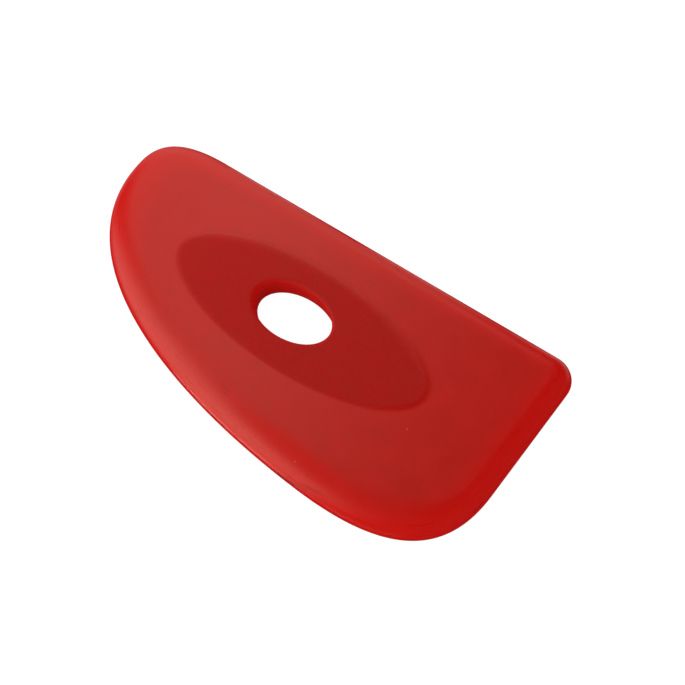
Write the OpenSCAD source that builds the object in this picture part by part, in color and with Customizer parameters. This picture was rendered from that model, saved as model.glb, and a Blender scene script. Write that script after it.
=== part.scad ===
// Soft pottery rib: one cast plate of flexible rubber for smoothing wet clay.
// It has a straight edge, a square end, a round heel, a long belly and a round nose.
// A raised oval grip carries an oval finger hole that goes right through.
// Frame: X runs along the straight edge towards the square end, Y towards the
// straight edge, Z up. The origin is under the middle of the outline, on the underside.

/* [Outline] */
// Overall length, from the tip of the nose to the square end
body_l = 120; // [105:1:140]
// Overall width, from the straight edge to the lowest point of the belly
body_w = 53; // [49:0.5:60]
// Radius of the corner between the straight edge and the square end
corner_r = 5.5; // [5:0.5:9]
// Distance from the straight edge to where the square end runs into the heel
end_l = 31.5; // [26:0.5:36]
// Distance from the square end to the lowest point of the belly
belly_x = 32; // [26:0.5:40]
// Distance from the straight edge to the tip of the nose
nose_y = 11; // [9:0.5:15]
// Distance from the tip of the nose to where the straight edge starts
nose_l = 20; // [16:0.5:26]

/* [Fullness of the curves] */
// Heel, where it leaves the square end
heel_start = 0.7; // [0.5:0.05:0.85]
// Heel, where it runs into the belly
heel_finish = 0.7; // [0.5:0.05:0.85]
// Belly, where it leaves the heel
belly_start = 0.53; // [0.4:0.01:0.65]
// Belly, where it runs into the nose
belly_finish = 0.67; // [0.5:0.01:0.75]
// Nose, where it leaves the belly
nose_start = 0.77; // [0.55:0.01:0.85]
// Nose, where it runs into the straight edge
nose_finish = 0.58; // [0.4:0.01:0.75]

/* [Thickness and edges] */
// Thickness of the plate, without the raised grip
body_t = 4.8; // [4:0.1:7]
// Radius of the rounding under the rim, which is also the height of the rim
rim_r = 1; // [0.5:0.1:1.5]
// Width over which the top rolls down to the straight edge
straight_roll = 4.2; // [2.5:0.1:4.8]
// Width over which the top rolls down to the square end
end_roll = 4.2; // [2.5:0.1:4.8]
// Width over which the top rolls down to the heel and the belly
belly_roll = 9; // [5:0.5:11]
// Width over which the top rolls down to the nose
nose_roll = 6.5; // [4:0.5:8]

/* [Grip] */
// Length of the oval grip
grip_l = 70.4; // [60:0.2:78]
// Width of the oval grip
grip_w = 25.6; // [22:0.2:28]
// Height of the grip above the plate
grip_rise = 0.2; // [0.1:0.05:0.6]
// Width of the rounding along the grip's border
grip_round = 0.4; // [0.2:0.1:0.8]
// Distance from the square end to the middle of the grip
grip_x = 56.2; // [52:0.2:60]
// Distance from the straight edge to the middle of the grip
grip_y = 23.7; // [21:0.1:25]

/* [Finger hole] */
// Length of the finger hole at its wall
hole_l = 20.4; // [16:0.2:26]
// Width of the finger hole at its wall
hole_w = 12; // [10:0.2:15]
// Distance of the hole's middle from the grip's middle, towards the nose
hole_shift = 1.1; // [0:0.1:3]
// Radius of the rounding at the top of the hole
hole_round = 1.1; // [0.5:0.1:1.8]
// Radius of the rounding at the bottom of the hole
hole_under = 0.5; // [0.3:0.1:1.2]

/* [Hidden] */

rib_red = [0.71, 0.12, 0.10];

// Places of the four sides of the outline
x_end = body_l / 2;
x_nose = -body_l / 2;
y_straight = body_w / 2;
y_belly = -body_w / 2;

// Heights
rim_z = rim_r;
roll_h = body_t - rim_z;
grip_z = body_t + grip_rise;

// Middles of the grip and the hole
grip_c = [x_end - grip_x, y_straight - grip_y];
hole_c = [grip_c.x - hole_shift, grip_c.y];

// Steps along each curve
corner_n = 8;
heel_n = 24;
belly_n = 36;
nose_n = 28;
roll_n = 10;
under_n = 4;
oval_n = 72;

// How far a cutter reaches past the faces that it opens
past = 1;
// Smallest radius left at the corner where the rings are drawn in
least_r = 0.4;

// One cubic curve, without its last point
function curve(a, b, c, d, n) = [
    for (i = [0 : n - 1])
        let (t = i / n, s = 1 - t)
            s * s * s * a + 3 * s * s * t * b + 3 * s * t * t * c + t * t * t * d
];

// The outline, clockwise from the start of the straight edge.
// Each side moves in by its own distance: [straight edge, square end, belly, nose].
function outline(in) =
    let (
        top = y_straight - in[0],
        right = x_end - in[1],
        low = y_belly + in[2],
        left = x_nose + in[3],
        r = max(corner_r - max(in[0], in[1]), least_r),
        straight_p = [x_nose + nose_l, top],
        heel_p = [right, y_straight - end_l],
        belly_p = [x_end - belly_x, low],
        nose_p = [left, y_straight - nose_y],
        heel_w = right - belly_p.x,
        heel_h = heel_p.y - low,
        belly_w = belly_p.x - left,
        belly_h = nose_p.y - low,
        nose_w = straight_p.x - left,
        nose_h = top - nose_p.y
    )
    concat(
        [straight_p],
        [
            for (i = [0 : corner_n])
                let (a = 90 - 90 * i / corner_n)
                    [right - r + r * cos(a), top - r + r * sin(a)]
        ],
        curve(
            heel_p,
            heel_p - [0, heel_start * heel_h],
            belly_p + [heel_finish * heel_w, 0],
            belly_p,
            heel_n
        ),
        curve(
            belly_p,
            belly_p - [belly_start * belly_w, 0],
            nose_p - [0, belly_finish * belly_h],
            nose_p,
            belly_n
        ),
        // The last curve ends on the first point, so that point isn't repeated
        curve(
            nose_p,
            nose_p + [0, nose_start * nose_h],
            straight_p - [nose_finish * nose_w, 0],
            straight_p,
            nose_n
        )
    );

// A closed ring of the plate at height z
function plate_ring(in, z) = [for (p = outline(in)) [p.x, p.y, z]];

// A closed oval ring round the point c, with half sizes a and b, clockwise
function oval_ring(c, a, b, z) = [
    for (i = [0 : oval_n - 1])
        let (t = -360 * i / oval_n)
            [c.x + a * cos(t), c.y + b * sin(t), z]
];

// A solid through rings that are listed from the lowest to the highest
module loft(rings) {
    n = len(rings[0]);
    m = len(rings);
    walls = [
        for (j = [0 : m - 2])
            for (i = [0 : n - 1])
                let (a = j * n + i, b = j * n + (i + 1) % n)
                    each [[a, b, b + n], [a, b + n, a + n]]
    ];
    floor_face = [for (i = [n - 1 : -1 : 0]) i];
    roof_face = [for (i = [0 : n - 1]) (m - 1) * n + i];
    polyhedron(points = [for (r = rings) each r], faces = concat([floor_face, roof_face], walls));
}

// The plate: a round under the rim, then a long quarter ellipse up to the flat top
module plate() {
    roll = [straight_roll, end_roll, belly_roll, nose_roll];
    under = [
        for (i = [0 : under_n - 1])
            let (a = 90 * i / under_n, d = rim_r * (1 - sin(a)))
                plate_ring([d, d, d, d], rim_r - rim_r * cos(a))
    ];
    over = [
        for (i = [0 : roll_n])
            let (a = 90 * i / roll_n)
                plate_ring(roll * (1 - cos(a)), rim_z + roll_h * sin(a))
    ];
    loft(concat(under, over));
}

// The raised oval, with a soft border, reaching down into the plate
module grip() {
    a = grip_l / 2;
    b = grip_w / 2;
    step = grip_rise / 4;
    loft([
        oval_ring(grip_c, a, b, body_t / 2),
        oval_ring(grip_c, a, b, body_t + step),
        oval_ring(grip_c, a - grip_round / 4, b - grip_round / 4, grip_z - step),
        oval_ring(grip_c, a - grip_round, b - grip_round, grip_z)
    ]);
}

// The finger hole as a cutter, flared by a round at each face
module finger_hole() {
    a = hole_l / 2;
    b = hole_w / 2;
    low = [
        for (i = [0 : under_n])
            let (t = 90 * i / under_n, d = hole_under * (1 - sin(t)))
                oval_ring(hole_c, a + d, b + d, hole_under * (1 - cos(t)))
    ];
    high = [
        for (i = [0 : roll_n])
            let (t = 90 * i / roll_n, d = hole_round * (1 - cos(t)))
                oval_ring(hole_c, a + d, b + d, grip_z - hole_round * (1 - sin(t)))
    ];
    floor_ring = oval_ring(hole_c, a + hole_under, b + hole_under, -past);
    roof_ring = oval_ring(hole_c, a + hole_round, b + hole_round, grip_z + past);
    loft(concat([floor_ring], low, high, [roof_ring]));
}

module rib_body() {
    color(rib_red)
        difference() {
            union() {
                plate();
                grip();
            }
            finger_hole();
        }
}

rib_body();
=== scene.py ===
"""A soft pottery rib: one cast plate of flexible red rubber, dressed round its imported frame.

Lengths are in metres and angles in degrees. X runs along the straight edge towards the
square end, Y towards the straight edge and Z up. The plate rests on Z = 0.
"""

import logging
import math
from dataclasses import dataclass, field
from enum import Enum
from typing import Any, Mapping, Protocol, Sequence, Union

import bmesh
import bpy
from mathutils import Matrix, Vector


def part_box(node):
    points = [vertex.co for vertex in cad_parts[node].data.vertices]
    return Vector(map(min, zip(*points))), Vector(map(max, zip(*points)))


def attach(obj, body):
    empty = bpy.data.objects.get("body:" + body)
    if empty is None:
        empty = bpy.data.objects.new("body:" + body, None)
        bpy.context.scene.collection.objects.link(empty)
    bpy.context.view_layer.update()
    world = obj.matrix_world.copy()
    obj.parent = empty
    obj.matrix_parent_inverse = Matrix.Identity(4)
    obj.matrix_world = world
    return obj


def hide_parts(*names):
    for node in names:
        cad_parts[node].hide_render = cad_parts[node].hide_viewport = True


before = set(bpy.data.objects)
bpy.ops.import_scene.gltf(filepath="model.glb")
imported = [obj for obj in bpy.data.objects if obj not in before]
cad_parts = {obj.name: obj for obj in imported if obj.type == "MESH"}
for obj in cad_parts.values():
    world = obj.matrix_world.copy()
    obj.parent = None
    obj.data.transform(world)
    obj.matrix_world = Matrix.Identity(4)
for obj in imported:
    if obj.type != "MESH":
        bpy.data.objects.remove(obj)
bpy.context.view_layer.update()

LOG = logging.getLogger("pottery_rib")

NODE = "rib_body"
IMAGE_PX = 685
SENSOR_MM = 36.0
MM_IN_M = 1000.0
SKIN = "skin"

# Middle of what a Noise node gives
NOISE_MIDDLE = 0.5

# Sockets of a Mix node for colours
MIX_SHARE = 0
MIX_LOW = 6
MIX_HIGH = 7
MIX_COLOUR = 2

Colour = tuple[float, float, float, float]
Ring = list[Vector]


def grey(level: float) -> Colour:
    """A grey whose three numbers are the same."""
    return (level, level, level, 1.0)


def raised(flat: Ring, z: float) -> Ring:
    """The points of a flat ring, lifted to a height."""
    return [Vector((p.x, p.y, z)) for p in flat]


def between(inner: Ring, outer: Ring, share: float) -> Ring:
    """A ring between two others, where 0 gives the inner one and 1 the outer one."""
    return [a.lerp(b, share) for a, b in zip(inner, outer)]


def quarter(steps: int) -> list[float]:
    """The angles of a quarter turn in equal steps, from 0 to a right angle."""
    return [math.radians(90 * i / steps) for i in range(steps + 1)]


def distances(rings: list[Ring]) -> list[list[float]]:
    """How far each point of each ring is from the first ring, measured along the rings."""
    rows = [[0.0] * len(rings[0])]
    for before, after in zip(rings, rings[1:]):
        rows.append([d + (b - a).length for d, a, b in zip(rows[-1], before, after)])
    return rows


def direction(azimuth: float, elevation: float) -> Vector:
    """The way from the plate towards something seen at an azimuth and an elevation."""
    turned = math.radians(azimuth)
    tilted = math.radians(elevation)
    level = Vector((math.cos(turned), math.sin(turned), 0.0))
    return math.cos(tilted) * level + Vector((0.0, 0.0, math.sin(tilted)))


class Value:
    """A number that nodes work out over a surface, with Python's own operators."""

    def __init__(self, bench: "NodeBench", socket: bpy.types.NodeSocket) -> None:
        """Wraps a socket.

        Args:
            bench: The node tree that new Math nodes go into.
            socket: The output socket that carries the number.
        """
        self.bench = bench
        self.socket = socket

    def _math(self, operation: str, *terms: "Number") -> "Value":
        """Adds one Math node on the given terms."""
        node = self.bench.add("ShaderNodeMath", {"operation": operation}, dict(enumerate(terms)))
        return Value(self.bench, node.outputs[0])

    def __add__(self, other: "Number") -> "Value":
        """self + other."""
        return self._math("ADD", self, other)

    def __radd__(self, other: "Number") -> "Value":
        """other + self."""
        return self._math("ADD", other, self)

    def __sub__(self, other: "Number") -> "Value":
        """self - other."""
        return self._math("SUBTRACT", self, other)

    def __rsub__(self, other: "Number") -> "Value":
        """other - self."""
        return self._math("SUBTRACT", other, self)

    def __mul__(self, other: "Number") -> "Value":
        """self * other."""
        return self._math("MULTIPLY", self, other)

    def __rmul__(self, other: "Number") -> "Value":
        """other * self."""
        return self._math("MULTIPLY", other, self)

    def __pow__(self, other: "Number") -> "Value":
        """self to the power of other."""
        return self._math("POWER", self, other)


Number = Union[Value, float]
Input = Union[Value, bpy.types.NodeSocket, float, Sequence[float]]


class NodeBench:
    """A node tree, and the one way in which nodes are put on it."""

    def __init__(self, tree: bpy.types.NodeTree) -> None:
        """Starts on an empty tree.

        Args:
            tree: The tree of a material or of the world.
        """
        self.tree = tree
        tree.nodes.clear()

    def add(
        self,
        kind: str,
        settings: Mapping[str, Any],
        inputs: Mapping[Union[str, int], Input],
    ) -> bpy.types.Node:
        """Adds a node, sets it up, and then fills or links its sockets.

        Args:
            kind: The node's type name.
            settings: The node's own settings, by name.
            inputs: What each socket, by name or number, is set or linked to.

        Returns:
            The new node.
        """
        node = self.tree.nodes.new(kind)
        for name, setting in settings.items():
            setattr(node, name, setting)
        for name, given in inputs.items():
            if isinstance(given, Value):
                self.tree.links.new(given.socket, node.inputs[name])
            elif isinstance(given, bpy.types.NodeSocket):
                self.tree.links.new(given, node.inputs[name])
            else:
                node.inputs[name].default_value = given
        return node

    def number(self, node: bpy.types.Node, output: Union[str, int] = 0) -> Value:
        """The output of a node as a number that Python's operators work on."""
        return Value(self, node.outputs[output])

    def smooth(self, given: Value, start: Number, end: Number) -> Value:
        """A smooth rise from 0 where the given number is start to 1 where it is end."""
        node = self.add(
            "ShaderNodeMapRange",
            {"interpolation_type": "SMOOTHSTEP"},
            {"Value": given, "From Min": start, "From Max": end},
        )
        return self.number(node)

    def noise(self, place: bpy.types.NodeSocket, size: float, detail: float) -> Value:
        """Soft random patches of about the given size, from 0 to 1."""
        node = self.add(
            "ShaderNodeTexNoise",
            {"noise_dimensions": "3D"},
            {"Vector": place, "Scale": 1.0 / size, "Detail": detail},
        )
        return self.number(node)

    def blend(self, share: Number, low: Input, high: Input) -> bpy.types.NodeSocket:
        """A colour between two others.

        Args:
            share: 0 gives the low colour and 1 the high one.
            low: The colour at 0.
            high: The colour at 1.

        Returns:
            The socket that carries the colour.
        """
        node = self.add(
            "ShaderNodeMix",
            {"data_type": "RGBA", "blend_type": "MIX", "clamp_factor": True},
            {MIX_SHARE: share, MIX_LOW: low, MIX_HIGH: high},
        )
        return node.outputs[MIX_COLOUR]


class Path(Protocol):
    """A stretch of the outline, followed from 0 to 1."""

    def at(self, t: float) -> Vector:
        """The point at share t of the stretch."""


@dataclass(frozen=True)
class Line:
    """A straight stretch from a to b."""

    a: Vector
    b: Vector

    def at(self, t: float) -> Vector:
        """The point at share t of the line."""
        return self.a.lerp(self.b, t)


@dataclass(frozen=True)
class Arc:
    """A clockwise quarter turn round a centre, which starts above it."""

    centre: Vector
    radius: float

    def at(self, t: float) -> Vector:
        """The point at share t of the turn."""
        turned = t * math.pi / 2
        return self.centre + self.radius * Vector((math.sin(turned), math.cos(turned)))


@dataclass(frozen=True)
class Curve:
    """A cubic curve from a to d, drawn towards b and c."""

    a: Vector
    b: Vector
    c: Vector
    d: Vector

    def at(self, t: float) -> Vector:
        """The point at share t of the curve."""
        s = 1.0 - t
        return s**3 * self.a + 3 * s * s * t * self.b + 3 * s * t * t * self.c + t**3 * self.d


class Side(Enum):
    """The stretches of the outline, clockwise from the start of the straight edge."""

    STRAIGHT = "straight edge"
    CORNER = "corner"
    END = "square end"
    HEEL = "heel"
    BELLY = "belly"
    NOSE = "nose"


STATIONS = {
    Side.STRAIGHT: 60,
    Side.CORNER: 14,
    Side.END: 22,
    Side.HEEL: 48,
    Side.BELLY: 84,
    Side.NOSE: 52,
}


@dataclass(frozen=True)
class Inset:
    """How far each side of the outline moves in."""

    straight: float
    end: float
    belly: float
    nose: float

    def scaled(self, share: float) -> "Inset":
        """The same inset, all sides times a share."""
        return Inset(self.straight * share, self.end * share, self.belly * share, self.nose * share)


@dataclass(frozen=True)
class Outline:
    """The plan of the plate: straight edge, corner, square end, heel, belly and nose."""

    low: Vector
    high: Vector
    corner_r: float = 0.0055
    end_l: float = 0.0315
    belly_x: float = 0.032
    nose_y: float = 0.011
    nose_l: float = 0.020
    heel_start: float = 0.70
    heel_finish: float = 0.70
    belly_start: float = 0.53
    belly_finish: float = 0.67
    nose_start: float = 0.77
    nose_finish: float = 0.58
    least_r: float = 0.0004

    def paths(self, inset: Inset) -> dict[Side, Path]:
        """The stretches of the outline when its sides move in.

        Args:
            inset: How far each side moves in.

        Returns:
            One path for each side, which join end to end.
        """
        top = self.high.y - inset.straight
        right = self.high.x - inset.end
        bottom = self.low.y + inset.belly
        left = self.low.x + inset.nose
        r = max(self.corner_r - max(inset.straight, inset.end), self.least_r)
        straight_p = Vector((self.low.x + self.nose_l, top))
        heel_p = Vector((right, self.high.y - self.end_l))
        belly_p = Vector((self.high.x - self.belly_x, bottom))
        nose_p = Vector((left, self.high.y - self.nose_y))
        heel_out = Vector((0.0, self.heel_start * (heel_p.y - bottom)))
        heel_in = Vector((self.heel_finish * (right - belly_p.x), 0.0))
        belly_out = Vector((self.belly_start * (belly_p.x - left), 0.0))
        belly_in = Vector((0.0, self.belly_finish * (nose_p.y - bottom)))
        nose_out = Vector((0.0, self.nose_start * (top - nose_p.y)))
        nose_in = Vector((self.nose_finish * (straight_p.x - left), 0.0))
        return {
            Side.STRAIGHT: Line(straight_p, Vector((right - r, top))),
            Side.CORNER: Arc(Vector((right - r, top - r)), r),
            Side.END: Line(Vector((right, top - r)), heel_p),
            Side.HEEL: Curve(heel_p, heel_p - heel_out, belly_p + heel_in, belly_p),
            Side.BELLY: Curve(belly_p, belly_p - belly_out, nose_p - belly_in, nose_p),
            Side.NOSE: Curve(nose_p, nose_p + nose_out, straight_p - nose_in, straight_p),
        }

    def ring(self, inset: Inset) -> Ring:
        """The stations round the outline when its sides move in, clockwise, flat."""
        paths = self.paths(inset)
        return [paths[side].at(i / n) for side, n in STATIONS.items() for i in range(n)]


@dataclass(frozen=True)
class Oval:
    """A flat oval with its long way along X."""

    centre: Vector
    length: float
    width: float

    def grown(self, by: float) -> "Oval":
        """The same oval with its edge moved out."""
        return Oval(self.centre, self.length + 2 * by, self.width + 2 * by)

    def reach(self, x: Value, y: Value) -> Value:
        """How far out a place lies, where 1 is on the oval's line."""
        across = (x - self.centre.x) * (2 / self.length)
        along = (y - self.centre.y) * (2 / self.width)
        return (across ** 2.0 + along ** 2.0) ** 0.5

    def ring(self, start: Vector, ways: Sequence[Vector]) -> Ring:
        """Where rays from a point inside cross the oval.

        Args:
            start: The point inside the oval.
            ways: The direction of each ray.

        Returns:
            One point for each ray.
        """
        a, b = self.length / 2, self.width / 2
        from_centre = Vector(((start.x - self.centre.x) / a, (start.y - self.centre.y) / b))
        points = []
        for way in ways:
            step = Vector((way.x / a, way.y / b))
            half_b = from_centre.dot(step)
            square = step.length_squared
            spare = 1.0 - from_centre.length_squared
            reach = (math.sqrt(half_b * half_b + square * spare) - half_b) / square
            points.append(start + reach * way)
        return points


@dataclass(frozen=True)
class Camera:
    """The photograph's camera, as an orbit round a point on the plate's face."""

    aim_x: float = 0.01682
    aim_y: float = 0.00326
    distance: float = 0.18836
    azimuth: float = -33.910
    elevation: float = 60.148
    roll: float = 19.159
    focal_px: float = 900.0
    clip_near: float = 0.01
    clip_far: float = 10.0

    def build(self, face_z: float) -> bpy.types.Object:
        """Adds the camera and makes it the scene's own.

        Args:
            face_z: The height of the point that it looks at.

        Returns:
            The camera object.
        """
        back = direction(self.azimuth, self.elevation)
        level = Vector((-back.y, back.x, 0.0)).normalized()
        upright = back.cross(level)
        roll = math.radians(self.roll)
        right = math.cos(roll) * level - math.sin(roll) * upright
        up = math.cos(roll) * upright + math.sin(roll) * level
        place = Vector((self.aim_x, self.aim_y, face_z)) + self.distance * back
        bpy.ops.object.select_all(action="DESELECT")
        bpy.ops.object.camera_add(location=place)
        camera = bpy.context.object
        camera.name = "camera"
        turn = Matrix((right, up, back)).transposed()
        camera.matrix_world = Matrix.Translation(place) @ turn.to_4x4()
        camera.data.sensor_width = SENSOR_MM
        camera.data.lens = SENSOR_MM * self.focal_px / IMAGE_PX
        camera.data.clip_start = self.clip_near
        camera.data.clip_end = self.clip_far
        bpy.context.scene.camera = camera
        return camera


@dataclass(frozen=True)
class Softbox:
    """A round soft lamp that looks at the plate. A brightness of 1 would look white."""

    name: str
    azimuth: float
    elevation: float
    brightness: float
    distance: float = 0.60
    size: float = 0.26
    in_gloss: bool = True

    def build(self) -> bpy.types.Object:
        """Adds the lamp, turned towards the plate."""
        out = direction(self.azimuth, self.elevation)
        bpy.ops.object.select_all(action="DESELECT")
        bpy.ops.object.light_add(type="AREA", location=out * self.distance)
        lamp = bpy.context.object
        lamp.name = self.name
        lamp.rotation_euler = out.to_track_quat("Z", "Y").to_euler()
        lamp.data.shape = "DISK"
        lamp.data.size = self.size
        area = math.pi * (self.size / 2) ** 2
        lamp.data.energy = self.brightness * math.pi * area
        lamp.visible_camera = False
        lamp.visible_glossy = self.in_gloss
        return lamp


@dataclass(frozen=True)
class LampBank:
    """Soft lamps of one brightness in even rows, at each azimuth and each elevation."""

    name: str
    brightness: float
    azimuths: tuple[float, ...]
    elevations: tuple[float, ...]
    in_gloss: bool = True

    def build(self) -> None:
        """Adds the lamps of the bank."""
        for row, elevation in enumerate(self.elevations, start=1):
            for column, azimuth in enumerate(self.azimuths, start=1):
                name = f"{self.name}_{row}_{column}"
                Softbox(name, azimuth, elevation, self.brightness, in_gloss=self.in_gloss).build()


@dataclass(frozen=True)
class PaintedPool:
    """A round pool of light painted on the table, which only shows in the gloss."""

    x: float
    y: float
    radius: float
    brightness: float


@dataclass(frozen=True)
class Dome:
    """A wide even fill, strongest from one side, which leaves no mark in the gloss."""

    name: str = "dome_lamp"
    azimuth: float = -20.0
    elevation: float = 75.0
    spread: float = 160.0
    strength: float = 2.00

    def build(self) -> bpy.types.Object:
        """Adds the lamp, turned towards the plate."""
        bpy.ops.object.select_all(action="DESELECT")
        bpy.ops.object.light_add(type="SUN")
        lamp = bpy.context.object
        lamp.name = self.name
        out = direction(self.azimuth, self.elevation)
        lamp.rotation_euler = out.to_track_quat("Z", "Y").to_euler()
        lamp.data.angle = math.radians(self.spread)
        lamp.data.energy = self.strength
        lamp.visible_camera = False
        lamp.visible_glossy = False
        return lamp


@dataclass(frozen=True)
class Studio:
    """A white table under soft lamps.

    The surround is white, and only the camera sees it. The pools of light painted on the table only
    show in the gloss.
    """

    lamps: tuple[Union[LampBank, Dome], ...] = (
        Dome(),
        LampBank("straight_side_lamp", 0.6, (115.0, 135.0, 155.0), (12.0, 28.0, 44.0)),
        LampBank("belly_side_lamp", 1.0, (200.0, 220.0, 240.0), (12.0, 28.0, 44.0)),
        LampBank("key_lamp", 2.0, (240.0,), (28.0,)),
        LampBank("upper_lamp", 0.6, (155.0, 180.0), (60.0,)),
        LampBank("square_end_lamp", 1.5, (-60.0, -15.0, 45.0), (25.0,), in_gloss=False),
    )
    painted_pools: tuple[PaintedPool, ...] = (
        PaintedPool(x=-0.005, y=-0.080, radius=0.046, brightness=5.0),
        PaintedPool(x=0.045, y=-0.062, radius=0.025, brightness=1.0),
        PaintedPool(x=-0.092, y=0.006, radius=0.025, brightness=0.5),
        PaintedPool(x=-0.082, y=0.048, radius=0.026, brightness=0.5),
        PaintedPool(x=-0.030, y=0.056, radius=0.026, brightness=0.6),
        PaintedPool(x=0.015, y=0.056, radius=0.026, brightness=0.6),
        PaintedPool(x=0.058, y=0.056, radius=0.026, brightness=0.6),
    )
    pool_edge: float = 0.06
    floor_size: float = 2.4
    floor_gap: float = 0.00005
    floor_white: float = 0.80
    floor_glow: float = 1.16
    floor_mirrored: float = 0.01
    shadow_share: float = 0.20
    shadow_near: float = 0.09
    shadow_far: float = 0.22

    def build(self) -> None:
        """Adds the lamps, the world and the floor."""
        for lamp in self.lamps:
            lamp.build()
            LOG.info("lamp %s", lamp.name)
        self._world()
        self._floor()

    def _world(self) -> None:
        """Sets a dark room, which is white where the camera looks past the floor."""
        world = bpy.data.worlds.new("surround")
        world.use_nodes = True
        bpy.context.scene.world = world
        bench = NodeBench(world.node_tree)
        ray = bench.add("ShaderNodeLightPath", {}, {})
        background = bench.add(
            "ShaderNodeBackground",
            {},
            {"Color": grey(1.0), "Strength": ray.outputs["Is Camera Ray"]},
        )
        bench.add("ShaderNodeOutputWorld", {}, {"Surface": background.outputs[0]})

    def _floor(self) -> None:
        """Adds the table: white to the camera, with a faint shadow round the plate."""
        bpy.ops.object.select_all(action="DESELECT")
        bpy.ops.mesh.primitive_plane_add(size=self.floor_size, location=(0, 0, -self.floor_gap))
        floor = bpy.context.object
        floor.name = "floor"
        bpy.ops.object.transform_apply(location=True, rotation=True, scale=True)
        material = bpy.data.materials.new("white_table")
        material.use_nodes = True
        bench = NodeBench(material.node_tree)
        place = bench.add("ShaderNodeTexCoord", {}, {}).outputs["Object"]
        far = bench.smooth(self._away(bench, place, 0.0, 0.0), self.shadow_near, self.shadow_far)
        paths = bench.add("ShaderNodeLightPath", {}, {})
        seen = bench.number(paths, "Is Camera Ray") * (1.0 - (1.0 - far) * self.shadow_share)
        mirrored = bench.number(paths, "Is Glossy Ray")
        reflection: Input = grey(self.floor_mirrored)
        # Painted pools of light on the table, which glossy rays see as its reflection
        for pool in self.painted_pools:
            away = self._away(bench, place, pool.x, pool.y) * (1.0 / pool.radius)
            laid = bench.smooth(away, 1.0 + self.pool_edge, 1.0 - self.pool_edge)
            reflection = bench.blend(laid, reflection, grey(pool.brightness))
        matte = bench.add("ShaderNodeBsdfDiffuse", {}, {"Color": grey(self.floor_white)})
        shown = bench.blend(mirrored, grey(self.floor_glow), reflection)
        glow = bench.add("ShaderNodeEmission", {}, {"Color": shown, "Strength": 1.0})
        mix = bench.add(
            "ShaderNodeMixShader",
            {},
            {0: seen + mirrored, 1: matte.outputs[0], 2: glow.outputs[0]},
        )
        bench.add("ShaderNodeOutputMaterial", {}, {"Surface": mix.outputs[0]})
        floor.data.materials.append(material)
        LOG.info("floor %s", floor.name)

    def _away(self, bench: NodeBench, place: bpy.types.NodeSocket, x: float, y: float) -> Value:
        """How far each point of the floor lies from a spot."""
        spot = (x, y, 0.0)
        node = bench.add("ShaderNodeVectorMath", {"operation": "DISTANCE"}, {0: place, 1: spot})
        return bench.number(node, "Value")


@dataclass(frozen=True)
class Mark:
    """A soft oval mark on the rubber, placed and sized in millimetres.

    It is at its full strength over the share "full" of its size, and fades out from there.
    """

    x: float
    y: float
    turn: float
    length: float
    width: float
    full: float = 0.2

    def mask(self, bench: NodeBench, place: bpy.types.NodeSocket) -> Value:
        """1 in the middle of the mark and 0 past its edge, at any height."""
        laid = bench.add(
            "ShaderNodeMapping",
            {"vector_type": "TEXTURE"},
            {
                "Vector": place,
                "Location": (self.x / MM_IN_M, self.y / MM_IN_M, 0.0),
                "Rotation": (0.0, 0.0, math.radians(self.turn)),
                "Scale": (self.length / 2 / MM_IN_M, self.width / 2 / MM_IN_M, 1.0),
            },
        )
        reach = bench.add("ShaderNodeVectorMath", {"operation": "LENGTH"}, {0: laid.outputs[0]})
        return bench.smooth(bench.number(reach, "Value"), 1.0, self.full)


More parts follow.
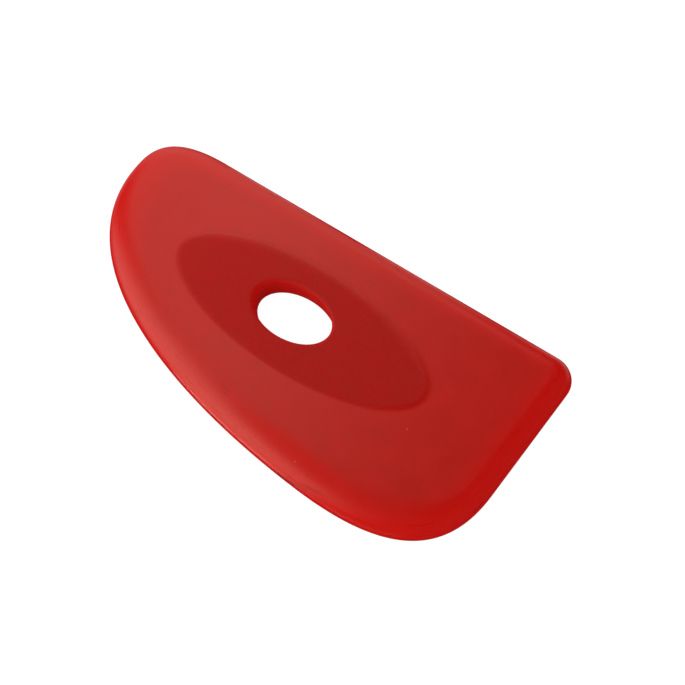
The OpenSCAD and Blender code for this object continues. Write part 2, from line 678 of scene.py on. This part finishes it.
@dataclass(frozen=True)
class RubberFinish:
    """Flexible cast rubber: deep red, satin on the face, matte and grainy on the grip."""

    name: str = "cast_red_rubber"

    # Colours: two on the face, a painted glow of light shining through where it is thin, two on the
    # grip, and the marks
    deep: Colour = (0.385, 0.0044, 0.0025, 1.0)
    clear: Colour = (0.475, 0.0034, 0.0019, 1.0)
    # Painted glow: light shining through the thin rubber, painted into the colour
    painted_glow: Colour = (0.59, 0.0022, 0.0012, 1.0)
    grip_deep: Colour = (0.320, 0.0037, 0.0021, 1.0)
    grip_clear: Colour = (0.390, 0.0026, 0.0015, 1.0)
    # Colour of the streaks, and also of the lit band: painted light shining through the rubber
    # inside the belly's highlight
    wiped: Colour = (0.50, 0.0020, 0.0012, 1.0)
    scuffed: Colour = (0.39, 0.0020, 0.0012, 1.0)
    speck: Colour = (0.62, 0.0700, 0.0550, 1.0)

    # How far in from the rim the painted glow of light through the thin rubber reaches, and how
    # much further in it reaches towards the nose, as painted light from the lamps on that side
    thin_reach: float = 0.010
    nose_from: float = -0.020
    nose_to: float = -0.052
    nose_light_gain: float = 0.5

    # Painted light: the clear colour rises along the plate towards the nose, the side the lamps
    # light more
    tone_from: float = 0.030
    tone_to: float = -0.050
    painted_light_rise: float = 0.5

    # Painted glow of light through the thin rubber round the finger hole, between two shares of its
    # size
    hole_glow_far: float = 1.10
    hole_glow_near: float = 1.00
    hole_glow_share: float = 0.75

    # Border of the matte grip, as shares of its size, and where along Y it turns soft
    border_out: float = 0.35
    crisp_border: float = 0.050
    soft_border: float = 0.15
    soft_from: float = 0.002
    soft_to: float = 0.012
    under_z: float = 0.0002

    # Streaks along the rim
    streak_length: float = 0.012
    streak_ratio: float = 22.0
    streak_from: float = 0.52
    streak_to: float = 0.72
    streak_near: float = 0.002
    wiped_share: float = 0.35
    wiped_rough: float = -0.06

    # Marks that are placed one by one
    scuffs: tuple[Mark, ...] = (
        Mark(x=2.9, y=-19.1, turn=-2.0, length=5.0, width=0.9),
        Mark(x=3.6, y=-20.0, turn=-3.0, length=3.0, width=0.8),
        Mark(x=26.6, y=-26.1, turn=3.0, length=13.0, width=0.8),
        Mark(x=31.4, y=-24.9, turn=9.0, length=9.0, width=0.7),
    )
    # Painted light: a band along the belly, inside its highlight, painted a brighter red as light
    # shining through the rubber
    lit_band: Mark = Mark(x=26.0, y=-21.5, turn=-2.0, length=54.0, width=6.0)
    lit_band_share: float = 0.60
    specks: tuple[Mark, ...] = (
        Mark(x=25.5, y=-22.6, turn=0.0, length=0.5, width=0.5),
        Mark(x=39.7, y=-4.4, turn=0.0, length=0.6, width=0.6),
    )

    # Mottle and grain
    mottle_size: float = 0.0035
    mottle_detail: float = 3.0
    mottle_rough: float = 0.10
    mottle_relief: float = 0.25
    grain_size: float = 0.00050
    fine_detail: float = 2.0
    face_grain: float = 0.10
    grip_grain: float = 1.0
    grain_depth: float = 0.00010

    # Light inside the rubber
    glow_depth: float = 0.0012
    glow_tint: tuple[float, float, float] = (1.0, 0.10, 0.06)
    glow_share: float = 0.6

    # Gloss
    face_rough: float = 0.32
    grip_rough: float = 0.58
    gloss_ior: float = 1.45
    face_gloss: float = 0.50
    grip_gloss: float = 0.26
    gloss_tint: Colour = (1.0, 0.96, 0.76, 1.0)

    def _rubber(
        self,
        bench: NodeBench,
        colour: bpy.types.NodeSocket,
        rough: Value,
        gloss: float,
        bump: bpy.types.NodeSocket,
    ) -> bpy.types.NodeSocket:
        """Adds the rubber's own shader, in which the light goes a little way in.

        Args:
            bench: The material's node tree.
            colour: The colour over the surface.
            rough: The roughness over the surface.
            gloss: How strong the sheen is.
            bump: The surface normal with the grain on it.

        Returns:
            The shader's output.
        """
        shader = bench.add(
            "ShaderNodeBsdfPrincipled",
            {"subsurface_method": "RANDOM_WALK"},
            {
                "Base Color": colour,
                "Roughness": rough,
                "IOR": self.gloss_ior,
                "Specular IOR Level": gloss,
                "Specular Tint": self.gloss_tint,
                "Normal": bump,
                "Subsurface Weight": self.glow_share,
                "Subsurface Radius": self.glow_tint,
                "Subsurface Scale": self.glow_depth,
            },
        )
        return shader.outputs[0]

    def build(self, grip: Oval, hole: Oval) -> bpy.types.Material:
        """Makes the material.

        Args:
            grip: The oval that is matte.
            hole: The finger hole, round whose edge a glow is painted as at the rim.

        Returns:
            The material.
        """
        material = bpy.data.materials.new(self.name)
        material.use_nodes = True
        bench = NodeBench(material.node_tree)
        place = bench.add("ShaderNodeTexCoord", {}, {}).outputs["Object"]
        split = bench.add("ShaderNodeSeparateXYZ", {}, {0: place})
        x, y, z = (bench.number(split, axis) for axis in "XYZ")
        laid = bench.add("ShaderNodeAttribute", {"attribute_name": SKIN}, {}).outputs["Vector"]
        inward = bench.number(bench.add("ShaderNodeSeparateXYZ", {}, {0: laid}), "Z")
        matte = self._matte(bench, grip.reach(x, y), y, z)
        # Painted glow of light shining through the thin rubber at the rim and round the hole;
        # towards the nose it reaches further in, as painted light from that side
        lit_nosewards = bench.smooth(x, self.nose_from, self.nose_to)
        painted_rim_glow = bench.smooth(inward * (1.0 - lit_nosewards * self.nose_light_gain), self.thin_reach, 0.0)
        painted_hole_glow = bench.smooth(hole.reach(x, y), self.hole_glow_far, self.hole_glow_near)
        wiped = self._wiped(bench, laid, inward)
        mottle = bench.noise(place, self.mottle_size, self.mottle_detail)
        # Random tone from the mottle, plus painted light rising towards the nose
        mottle_and_painted_light = mottle + bench.smooth(x, self.tone_from, self.tone_to) * self.painted_light_rise
        face_colour = bench.blend(mottle_and_painted_light, self.deep, self.clear)
        colour = bench.blend(matte, face_colour, bench.blend(mottle_and_painted_light, self.grip_deep, self.grip_clear))
        colour = bench.blend(painted_rim_glow + painted_hole_glow * self.hole_glow_share, colour, self.painted_glow)
        # The lit band is painted light, a brighter red along the belly; the streaks are drawn marks
        lit_band = self.lit_band.mask(bench, place) * self.lit_band_share
        colour = bench.blend(wiped * self.wiped_share + lit_band, colour, self.wiped)
        for scuff in self.scuffs:
            colour = bench.blend(scuff.mask(bench, place), colour, self.scuffed)
        for speck in self.specks:
            colour = bench.blend(speck.mask(bench, place), colour, self.speck)
        uneven = (mottle - NOISE_MIDDLE) * self.mottle_rough + wiped * self.wiped_rough
        grain = bench.noise(place, self.grain_size, self.fine_detail)
        height = grain * (self.face_grain + matte * (self.grip_grain - self.face_grain))
        height = height + mottle * self.mottle_relief
        bump = bench.add(
            "ShaderNodeBump",
            {},
            {"Strength": 1.0, "Distance": self.grain_depth, "Height": height},
        ).outputs[0]
        face = self._rubber(bench, colour, uneven + self.face_rough, self.face_gloss, bump)
        matte_face = self._rubber(bench, colour, uneven + self.grip_rough, self.grip_gloss, bump)
        skin = bench.add("ShaderNodeMixShader", {}, {0: matte + lit_band, 1: face, 2: matte_face})
        bench.add("ShaderNodeOutputMaterial", {}, {"Surface": skin.outputs[0]})
        return material

    def _matte(self, bench: NodeBench, reach: Value, y: Value, z: Value) -> Value:
        """Where the grip is matte: crisp along the belly side and soft along the straight side.

        Args:
            bench: The material's node tree.
            reach: 1 on the grip's line, and less inside it.
            y: The place across the plate.
            z: The height.

        Returns:
            1 on the grip and in the hole, and 0 elsewhere.
        """
        soft = self.crisp_border + bench.smooth(y, self.soft_from, self.soft_to) * self.soft_border
        above = bench.smooth(z, self.under_z, 2 * self.under_z)
        return bench.smooth(reach, 1.0 + soft * self.border_out, 1.0 - soft) * above

    def _wiped(self, bench: NodeBench, laid: bpy.types.NodeSocket, inward: Value) -> Value:
        """Thin streaks along the rim, where the edge has been drawn over clay."""
        stretched = bench.add(
            "ShaderNodeVectorMath",
            {"operation": "MULTIPLY"},
            {0: laid, 1: (1.0, 1.0, self.streak_ratio)},
        )
        streaks = bench.noise(stretched.outputs[0], self.streak_length, self.fine_detail)
        near = bench.smooth(inward, self.thin_reach, self.streak_near)
        return bench.smooth(streaks, self.streak_from, self.streak_to) * near


@dataclass
class Rib:
    """The rib: a plate with rolled edges, a raised oval grip and a finger hole."""

    low: Vector
    high: Vector
    rim_r: float = 0.001
    roll: Inset = Inset(straight=0.0042, end=0.0042, belly=0.009, nose=0.0065)
    grip_l: float = 0.0704
    grip_w: float = 0.0256
    grip_rise: float = 0.0002
    grip_round: float = 0.0015
    grip_x: float = 0.0562
    grip_y: float = 0.0237
    hole_l: float = 0.0204
    hole_w: float = 0.0120
    hole_shift: float = 0.0011
    hole_round: float = 0.0011
    hole_under: float = 0.0005

    # Steps round each curve, and shares of the way at which the flat stretches have rings
    under_steps: int = 4
    flare_steps: int = 7
    border_steps: int = 5
    roll_steps: int = 14
    wall_shares: tuple[float, ...] = (1 / 3, 2 / 3)
    grip_shares: tuple[float, ...] = (0.12, 0.35, 0.65, 0.90)
    face_shares: tuple[float, ...] = (0.08, 0.35, 0.65, 0.92)
    base_shares: tuple[float, ...] = (0.04, 0.25, 0.50, 0.75, 0.95, 1.0)
    weld: float = 1e-6

    finish: RubberFinish = field(default_factory=RubberFinish)

    def __post_init__(self) -> None:
        """Works out the ovals and the rays that all rings share."""
        self.outline = Outline(self.low, self.high)
        self.body_z = self.high.z - self.grip_rise
        middle = Vector((self.high.x - self.grip_x, self.high.y - self.grip_y))
        self.grip = Oval(middle, self.grip_l, self.grip_w)
        self.hole = Oval(middle - Vector((self.hole_shift, 0.0)), self.hole_l, self.hole_w)
        self.flat_edge = self.outline.ring(self.roll)
        self.ways = [(p - self.hole.centre).normalized() for p in self.flat_edge]

    def _oval(self, oval: Oval) -> Ring:
        """An oval ring at the shared stations."""
        return oval.ring(self.hole.centre, self.ways)

    def _hole_rings(self) -> list[Ring]:
        """The finger hole, from the underside up to the grip's face."""
        rings = []
        for a in quarter(self.under_steps):
            out = self.hole_under * (1 - math.sin(a))
            z = self.hole_under * (1 - math.cos(a))
            rings.append(raised(self._oval(self.hole.grown(out)), z))
        wall_low = self.hole_under
        wall_high = self.high.z - self.hole_round
        for share in self.wall_shares:
            z = wall_low + share * (wall_high - wall_low)
            rings.append(raised(self._oval(self.hole), z))
        for a in quarter(self.flare_steps):
            out = self.hole_round * (1 - math.cos(a))
            z = wall_high + self.hole_round * math.sin(a)
            rings.append(raised(self._oval(self.hole.grown(out)), z))
        return rings

    def _grip_rings(self) -> list[Ring]:
        """The grip's face and its soft border, down to the plate."""
        inner = self._oval(self.hole.grown(self.hole_round))
        outer = self._oval(self.grip.grown(-self.grip_round))
        rings = []
        for share in self.grip_shares:
            rings.append(raised(between(inner, outer, share), self.high.z))
        for i in range(self.border_steps + 1):
            share = i / self.border_steps
            points = self._oval(self.grip.grown(self.grip_round * (share - 1)))
            fall = self.grip_rise * (1 - math.cos(math.pi * share)) / 2
            rings.append(raised(points, self.high.z - fall))
        return rings

    def _face_rings(self) -> list[Ring]:
        """The flat face and the long roll down to the rim."""
        inner = self._oval(self.grip)
        rings = []
        for share in self.face_shares:
            rings.append(raised(between(inner, self.flat_edge, share), self.body_z))
        for a in reversed(quarter(self.roll_steps)):
            inset = self.roll.scaled(1 - math.cos(a))
            z = self.rim_r + (self.body_z - self.rim_r) * math.sin(a)
            rings.append(raised(self.outline.ring(inset), z))
        return rings

    def _under_rings(self) -> list[Ring]:
        """The round under the rim and the flat underside, back to the hole."""
        rings = []
        for a in reversed(quarter(self.under_steps)[:-1]):
            d = self.rim_r * (1 - math.sin(a))
            points = self.outline.ring(Inset(d, d, d, d))
            rings.append(raised(points, self.rim_r * (1 - math.cos(a))))
        inner = self._oval(self.hole.grown(self.hole_under))
        flat = [Vector(p.xy) for p in rings[-1]]
        for share in self.base_shares:
            rings.append(raised(between(flat, inner, share), 0.0))
        return rings

    def _laid_out(self, over: list[Ring], under: list[Ring]) -> list[Ring]:
        """Lays the skin out, so that its marks can run along the rim and in from it.

        Args:
            over: The rings from the hole's lower edge over the face to the rim.
            under: The rings from the rim back to the hole, under the plate.

        Returns:
            A place for each point: two numbers go round a circle as long as the rim, and
            the third is the distance in from the rim.
        """
        rim = over[-1]
        steps = [(b - a).length for a, b in zip(rim, rim[1:] + rim[:1])]
        radius = sum(steps) / math.tau
        turns = [sum(steps[:i]) / radius for i in range(len(rim))]
        circle = [radius * Vector((math.cos(turn), math.sin(turn))) for turn in turns]
        inward = distances(over[::-1])[::-1] + distances([rim] + under)[1:]
        return [[Vector((p.x, p.y, d)) for p, d in zip(circle, row)] for row in inward]

    def build(self) -> bpy.types.Object:
        """Draws the skin out ring by ring, closes it and dresses it.

        Returns:
            The finished piece.
        """
        over = self._hole_rings() + self._grip_rings() + self._face_rings()
        under = self._under_rings()
        rings = over + under
        laid_out = self._laid_out(over, under)
        bpy.ops.object.select_all(action="DESELECT")
        bpy.ops.mesh.primitive_circle_add(
            vertices=len(self.ways),
            radius=self.hole_l / 2,
            fill_type="NOTHING",
            location=(self.hole.centre.x, self.hole.centre.y, 0.0),
        )
        piece = bpy.context.object
        piece.name = "rib"
        bpy.ops.object.transform_apply(location=True, rotation=True, scale=True)
        bpy.ops.object.mode_set(mode="EDIT")
        bpy.ops.mesh.select_mode(type="EDGE")
        bpy.ops.mesh.select_all(action="SELECT")
        bmesh.from_edit_mesh(piece.data).verts.layers.float_vector.new(SKIN)
        stations = list(range(len(self.ways)))
        self._place(piece, stations, rings[0], laid_out[0])
        for ring, laid in zip(rings[1:], laid_out[1:]):
            bpy.ops.mesh.extrude_region_move()
            stations = self._grown_from(piece, stations)
            self._place(piece, stations, ring, laid)
        bpy.ops.mesh.select_all(action="SELECT")
        bpy.ops.mesh.remove_doubles(threshold=self.weld)
        bpy.ops.mesh.normals_make_consistent(inside=False)
        bpy.ops.object.mode_set(mode="OBJECT")
        self._smooth(piece)
        piece.data.materials.append(self.finish.build(self.grip, self.hole))
        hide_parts(NODE)
        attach(piece, "root")
        LOG.info("piece %s: %d rings, %d faces", piece.name, len(rings), len(piece.data.polygons))
        return piece

    def _grown_from(self, piece: bpy.types.Object, stations: list[int]) -> list[int]:
        """The new points that the last extrude drew out of the old ring, in the same order."""
        work = bmesh.from_edit_mesh(piece.data)
        work.verts.ensure_lookup_table()
        work.verts.index_update()
        grown = []
        for i in stations:
            old = work.verts[i]
            others = (edge.other_vert(old) for edge in old.link_edges)
            grown.append(next(other.index for other in others if other.select))
        return grown

    def _place(
        self, piece: bpy.types.Object, stations: list[int], ring: Ring, laid: Ring
    ) -> None:
        """Moves one ring of points to its place, and notes where it lies on the laid-out skin."""
        work = bmesh.from_edit_mesh(piece.data)
        work.verts.ensure_lookup_table()
        layer = work.verts.layers.float_vector[SKIN]
        for i, point, place in zip(stations, ring, laid):
            work.verts[i].co = point
            work.verts[i][layer] = place
        bmesh.update_edit_mesh(piece.data)

    def _smooth(self, piece: bpy.types.Object) -> None:
        """Rounds the skin off once and shades it smooth."""
        bpy.ops.object.modifier_add(type="SUBSURF")
        rounding = piece.modifiers[-1]
        rounding.levels = 1
        rounding.render_levels = 1
        bpy.ops.object.modifier_apply(modifier=rounding.name)
        bpy.ops.object.shade_smooth()


def main() -> None:
    """Builds the rib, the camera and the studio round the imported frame."""
    logging.basicConfig(level=logging.INFO, format="%(name)s: %(message)s")
    low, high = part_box(NODE)
    Rib(low, high).build()
    Camera().build(high.z)
    Studio().build()
    bpy.context.scene.view_settings.view_transform = "Standard"


if __name__ == "__main__":
    main()
